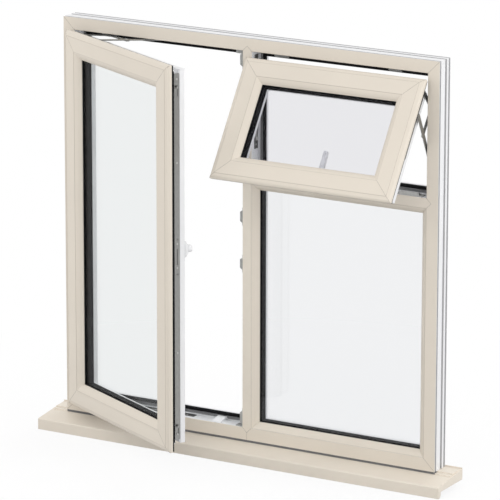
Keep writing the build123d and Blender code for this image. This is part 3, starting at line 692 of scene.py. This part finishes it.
def build_frame_weld_shade():
    """Fine lines of painted shade where the frame is welded: corners on both faces, V-shaped post ends
    outside.
    """
    place, size = rectangle(FRAME_X, FRAME_Z)
    mesh = bmesh.new()
    add_mitres(mesh, place, size, ((WELD_INSET, 0.0), (FRAME_FACE, 0.0)))
    tips = [
        ((0.0, OPEN_HEAD + HALF_POST), (0, -1)),
        ((0.0, OPEN_FOOT - HALF_POST), (0, 1)),
        ((OPEN_RIGHT + HALF_POST, TRANSOM), (-1, 0)),
        ((0.0, TRANSOM), (1, 0)),
    ]
    still = Matrix.Identity(4)
    for (tip_x, tip_z), (back_x, back_z) in tips:
        for side in (-1, 1):
            run_x = HALF_POST * (back_x + side * abs(back_z))
            run_z = HALF_POST * (back_z + side * abs(back_x))
            end = (tip_x + run_x, 0, tip_z + run_z)
            add_strip(mesh, (tip_x, 0, tip_z), end, (run_z, 0, -run_x), -1, still)
    foot, tip = FRAME_Z[0] + WELD_INSET, OPEN_FOOT - HALF_POST
    add_strip(mesh, (0, 0, foot), (0, 0, tip), (1, 0, 0), -1, still)
    new_piece("frame_weld_shade_lines", mesh, weld_shade_cream)
    mesh = bmesh.new()
    rear = ((WELD_INSET, FRAME_DEPTH), (FRAME_FACE + UPSTAND_H, FRAME_DEPTH))
    add_mitres(mesh, place, size, rear, 1)
    new_piece("frame_rear_weld_shade_lines", mesh, weld_shade_white)


def build_sash_weld_shade():
    """Fine lines of painted shade at the sashes' welded corners, over the moulding and the flat, and on
    the inner face.
    """
    flat = ((OVOLO[-1][0] + WELD_INSET, 0.0), (BEAD_FLAT_END, 0.0))
    rear = ((SASH_INSET, SASH_DEPTH), (SASH_REAR_FACE, SASH_DEPTH))
    for sash, size in SASH_SIZES.items():
        mesh = bmesh.new()
        add_mitres(mesh, SASHES[sash], size, OVOLO[:-1])
        add_mitres(mesh, SASHES[sash], size, flat)
        new_piece(f"{sash}_weld_shade_lines", mesh, weld_shade_cream)
        mesh = bmesh.new()
        add_mitres(mesh, SASHES[sash], size, rear, 1)
        new_piece(f"{sash}_rear_weld_shade_lines", mesh, weld_shade_white)


def add_turned(mesh, profile, place, recess=0.0):
    """Round body from a profile of radius and height along Z, with a cross recess of the given reach."""
    turns = [2 * pi * step / TURNED_SIDES for step in range(TURNED_SIDES)]
    loops = [([radius] * TURNED_SIDES, height) for radius, height in profile]
    if recess:
        top = profile[-1][1]
        arm = TURNED_SIDES // RECESS_ARMS
        reaches = [recess if step % arm == 0 else recess * RECESS_WAIST for step in range(TURNED_SIDES)]
        loops += [(reaches, top), (reaches, top - recess * RECESS_DEPTH)]
    rings = []
    for radii, height in loops:
        points = [Vector((r * cos(turn), r * sin(turn), height)) for r, turn in zip(radii, turns)]
        rings.append([mesh.verts.new(place @ (point * MM)) for point in points])
    for low, high in zip(rings, rings[1:]):
        for step in range(TURNED_SIDES):
            follow = (step + 1) % TURNED_SIDES
            mesh.faces.new((low[step], low[follow], high[follow], high[step]))
    mesh.faces.new(rings[0][::-1])
    mesh.faces.new(rings[-1])


def scaled(profile, radius):
    """Profile with its shares of the radius in millimetres."""
    return [(share * radius, height) for share, height in profile]


def towards(point, direction):
    """Matrix that stands a turned body on a point in millimetres, with its axis along a direction."""
    turn = Vector(direction).to_track_quat("Z", "Y").to_matrix().to_4x4()
    return Matrix.Translation(Vector(point) * MM) @ turn


def add_screw(mesh, place):
    """Low pan head with a cross recess, its foot sunk in the surface."""
    add_turned(mesh, scaled(SCREW_HEAD, SCREW_R), place, SCREW_R * SCREW_RECESS)


def add_rivet(mesh, place):
    """Domed rivet head."""
    add_turned(mesh, scaled(RIVET_HEAD, RIVET_R), place)


def build_lock_screws():
    """Screws along both faceplates."""
    for sash, (width, height) in SASH_SIZES.items():
        mesh = bmesh.new()
        for along in LOCK_SCREWS[sash]:
            if sash == "casement":
                spot = towards((width / 2 - FACEPLATE_FACE, FACEPLATE_DEPTH, along), (1, 0, 0))
            else:
                spot = towards((along, FACEPLATE_DEPTH, FACEPLATE_FACE - height / 2), (0, 0, -1))
            add_screw(mesh, SASHES[sash] @ spot)
        new_piece(f"{sash}_lock_screws", mesh, bright_zinc)


def stay_heads(sash):
    """Heads on a stay: place along its track, level above the rebate, and the function that makes them."""
    screws = [(along, TRACK_SHEET, add_screw) for along in TRACK_SCREWS[sash]]
    return screws + [(along, level, add_rivet) for along, level in STAY_RIVETS[sash]]


def build_stay_fasteners():
    """Screws in the stays' tracks and rivet heads on their links."""
    mesh = bmesh.new()
    for along, level, add in stay_heads("casement"):
        add(mesh, towards((OPEN_LEFT + along, TRACK_Y, OPEN_FOOT + level), (0, 0, 1)))
        add(mesh, towards((OPEN_LEFT + along, TRACK_Y, OPEN_HEAD - level), (0, 0, -1)))
    new_piece("casement_stay_fasteners", mesh, bright_zinc)
    mesh = bmesh.new()
    for along, level, add in stay_heads("fanlight"):
        add(mesh, towards((HALF_POST + level, TRACK_Y, OPEN_HEAD - along), (1, 0, 0)))
        add(mesh, towards((OPEN_RIGHT - level, TRACK_Y, OPEN_HEAD - along), (-1, 0, 0)))
    new_piece("fanlight_stay_fasteners", mesh, bright_zinc)


def build_keep_screws():
    """Screws in the keeps on the mullion, corners and transom, and black discs of painted shade in the
    corner keep's holes.
    """
    face = -HALF_POST - KEEP_PLATE_T
    heights = []
    for low, high in MULLION_KEEPS:
        heights += [low + KEEP_SCREW_END, high - KEEP_SCREW_END]
    heights += [OPEN_FOOT + up for up in CORNER_KEEP] + [OPEN_HEAD - up for up in CORNER_KEEP]
    mesh = bmesh.new()
    for height in heights:
        add_screw(mesh, towards((face, KEEP_SCREW_Y, height), (-1, 0, 0)))
    new_piece("casement_keep_screws", mesh, bright_zinc)
    ledge = TRANSOM + HALF_POST + KEEP_PLATE_T
    mesh = bmesh.new()
    for along in TRANSOM_KEEP:
        for x in (OPEN_RIGHT - along, HALF_POST + along):
            add_screw(mesh, towards((x, KEEP_SCREW_Y, ledge), (0, 0, 1)))
    new_piece("fanlight_keep_screws", mesh, bright_zinc)
    # black discs of painted shade in the corner keep's holes
    mesh = bmesh.new()
    for along, depth in KEEP_HOLES:
        add_turned(mesh, KEEP_HOLE, towards((along, depth, OPEN_FOOT + KEEP_PLATE_T), (0, 0, 1)))
    new_piece("casement_keep_hole_shade", mesh, black_spacer)


def add_block(mesh, low, high, place):
    """Block between two corners in millimetres."""
    bmesh.ops.create_cube(mesh, size=1.0)
    for vertex in mesh.verts:
        corner = [b if side > 0 else a for a, b, side in zip(low, high, vertex.co)]
        vertex.co = place @ (Vector(corner) * MM)


def round_edges(mesh, edges, radius):
    """Small rounds on some edges of a mesh; radius in millimetres."""
    bmesh.ops.bevel(mesh, geom=edges, offset=radius * MM, segments=SOFT_STEPS, affect="EDGES")


def build_head_rib():
    """Rib below the level leg of the keep in the casement's head corner."""
    length, drop = HEAD_RIB
    low = (-HALF_POST - length, HEAD_RIB_Y[0], OPEN_HEAD - drop)
    high = (-HALF_POST - HEAD_RIB_GAP, HEAD_RIB_Y[1], OPEN_HEAD - KEEP_PLATE_T + SEATING)
    mesh = bmesh.new()
    add_block(mesh, low, high, Matrix.Identity(4))
    round_edges(mesh, mesh.edges[:], HEAD_RIB_ROUND)
    new_piece("casement_head_keep_rib", mesh, pale_zinc)


def build_handle_details():
    """Covers over the base plate's fixings and a round button in the lever."""
    for name, (along, _, height) in HANDLE_PLACES.items():
        place = SASHES[name] @ Matrix.Translation(Vector((along, 0.0, height)) * MM)
        if name == "fanlight":
            place = place @ Matrix.Rotation(pi / 2, 4, "Y")
        mesh = bmesh.new()
        for side in (-1, 1):
            spot = place @ towards((0, BASE_FACE, side * COVER_AT), (0, 1, 0))
            add_turned(mesh, scaled(COVER_HEAD, COVER_R), spot)
        new_piece(f"{name}_handle_covers", mesh, white_handle)
        mesh = bmesh.new()
        spot = place @ towards((BUTTON_AT, BUTTON_FACE, 0), (0, 1, 0))
        add_turned(mesh, scaled(BUTTON_HEAD, BUTTON_R), spot)
        new_piece(f"{name}_handle_button", mesh, bright_zinc, f"{name}_handle")


def build_seal_shade_strips():
    """Dark strip on the lower half of the upstand round both openings, painted shade below the weather
    seal.
    """
    openings = {
        "casement": ((OPEN_LEFT, -HALF_POST), (OPEN_FOOT, OPEN_HEAD)),
        "fanlight": ((HALF_POST, OPEN_RIGHT), (TRANSOM + HALF_POST, OPEN_HEAD)),
    }
    front, back = UPSTAND_Y - SEAL_SHADE_T, UPSTAND_Y + SEAL_SHADE_SUNK
    low, high = SEAL_SHADE_GAP, UPSTAND_H - SEAL_H
    section = ((low, back), (low, front), (high, front), (high, back))
    for name, limits in openings.items():
        mesh = bmesh.new()
        add_ring(mesh, *rectangle(*limits), section)
        new_piece(f"{name}_seal_shade_strip", mesh, seal_shade_rubber)


def build_lip_seal_and_shade():
    """Black strip on the casement's lock stile, from the lip to the faceplate: the lip seal's leg, and
    painted shade under the lip.
    """
    width, height = SASH_SIZES["casement"]
    near, far = LIP_SEAL_SHADE_DEPTHS
    face = width / 2 - SASH_INSET
    reach = height / 2 - LIP_SEAL_SHADE_GAP
    mesh = bmesh.new()
    add_block(mesh, (face - SEATING, near, -reach), (face + LIP_SEAL_SHADE_T, far, reach), SASHES["casement"])
    long_edges = [edge for edge in mesh.edges if edge.calc_length() > reach * MM]
    round_edges(mesh, long_edges, LIP_SEAL_SHADE_ROUND)
    new_piece("casement_lip_seal_and_shade", mesh, black_rubber)


def away_from_object(tree):
    """Share of plain white in the floor: least beside the object, all of it far away."""
    coords = tree.nodes.new("ShaderNodeTexCoord")
    length = tree.nodes.new("ShaderNodeVectorMath")
    length.operation = "LENGTH"
    share = tree.nodes.new("ShaderNodeMapRange")
    share.inputs["From Min"].default_value = FLOOR_NEAR
    share.inputs["From Max"].default_value = FLOOR_FAR
    share.inputs["To Min"].default_value = FLOOR_WHITE
    tree.links.new(coords.outputs["Object"], length.inputs[0])
    tree.links.new(length.outputs["Value"], share.inputs["Value"])
    return share.outputs["Result"]


def direct_sight(tree):
    """One for rays from the camera, from a mirror-like surface or through glass, else nought."""
    rays = tree.nodes.new("ShaderNodeLightPath")
    found = rays.outputs["Is Camera Ray"]
    for kind in ("Is Glossy Ray", "Is Transmission Ray"):
        either = tree.nodes.new("ShaderNodeMath")
        either.operation = "MAXIMUM"
        tree.links.new(found, either.inputs[0])
        tree.links.new(rays.outputs[kind], either.inputs[1])
        found = either.outputs[0]
    return found


def build_floor():
    """Pale floor below the cill, nearly plain white where it shows, with the object's shadow on it."""
    low = cad_box[0].z
    mesh = bpy.data.meshes.new("floor")
    corners = [(x * FLOOR_REACH, y * FLOOR_REACH, low) for x, y in ((-1, -1), (1, -1), (1, 1), (-1, 1))]
    mesh.from_pydata(corners, [], [(0, 1, 2, 3)])
    floor = bpy.data.objects.new("floor", mesh)
    bpy.context.scene.collection.objects.link(floor)
    made = Shader("floor_white")
    made.surface(Base_Color=(*FLOOR_BOUNCE, 1.0), Roughness=1.0, Specular_IOR_Level=0.0)
    seen = made.add("ShaderNodeBsdfDiffuse", Color=(*FLOOR_SEEN, 1.0))
    glow = made.add("ShaderNodeEmission", Strength=1.0)
    pale = made.add("ShaderNodeMixShader")
    made.link(away_from_object(made.tree), pale.inputs["Fac"])
    made.link(seen.outputs[0], pale.inputs[1])
    made.link(glow.outputs[0], pale.inputs[2])
    choose = made.add("ShaderNodeMixShader")
    made.link(direct_sight(made.tree), choose.inputs["Fac"])
    made.link(made.bsdf.outputs[0], choose.inputs[1])
    made.link(pale.outputs[0], choose.inputs[2])
    made.link(choose.outputs[0], made.output.inputs["Surface"])
    mesh.materials.append(made.material)


def build_world():
    """White world, which lights the object at its own level and is plain white where it shows."""
    world = bpy.data.worlds.new("studio")
    bpy.context.scene.world = world
    world.use_nodes = True
    tree = world.node_tree
    soft = tree.nodes["Background"]
    white = tree.nodes.new("ShaderNodeBackground")
    for background, level in ((soft, WORLD_LIGHT), (white, 1.0)):
        background.inputs["Color"].default_value = (1.0, 1.0, 1.0, 1.0)
        background.inputs["Strength"].default_value = level
    mix = tree.nodes.new("ShaderNodeMixShader")
    tree.links.new(direct_sight(tree), mix.inputs["Fac"])
    tree.links.new(soft.outputs[0], mix.inputs[1])
    tree.links.new(white.outputs[0], mix.inputs[2])
    tree.links.new(mix.outputs[0], tree.nodes["World Output"].inputs["Surface"])


def lamp(name, place, aim, size, power):
    """Square soft box."""
    light = bpy.data.lights.new(name, "AREA")
    light.size = size
    light.energy = power
    thing = bpy.data.objects.new(name, light)
    thing.location = place
    thing.rotation_euler = (Vector(aim) - Vector(place)).to_track_quat("-Z", "Y").to_euler()
    thing.visible_glossy = False
    bpy.context.scene.collection.objects.link(thing)


def build_camera():
    """Camera at the photograph's viewing angle."""
    azimuth, elevation = radians(CAMERA_AZIMUTH), radians(CAMERA_ELEVATION)
    back = Vector((sin(azimuth) * cos(elevation), -cos(azimuth) * cos(elevation), sin(elevation)))
    data = bpy.data.cameras.new("camera")
    data.lens = LENS
    data.sensor_width = SENSOR
    data.clip_end = CLIP_END
    camera = bpy.data.objects.new("camera", data)
    camera.location = CAMERA_TARGET + back * CAMERA_DISTANCE
    turn = (-back).to_track_quat("-Z", "Y").to_matrix() @ Matrix.Rotation(radians(CAMERA_ROLL), 3, "Z")
    camera.rotation_euler = turn.to_euler()
    bpy.context.scene.collection.objects.link(camera)
    bpy.context.scene.camera = camera


# The scene
dress_members()
dress_rest()
for node in nodes:
    if not node.endswith("_panes"):
        soften(node)
build_sash_beads()
build_casement_glazing()
build_frame_weld_shade()
build_sash_weld_shade()
build_lock_screws()
build_stay_fasteners()
build_keep_screws()
build_head_rib()
build_handle_details()
build_seal_shade_strips()
build_lip_seal_and_shade()
build_floor()
build_world()
for name, values in LAMPS.items():
    lamp(name, *values)
build_camera()
bpy.context.scene.view_settings.view_transform = "Standard"
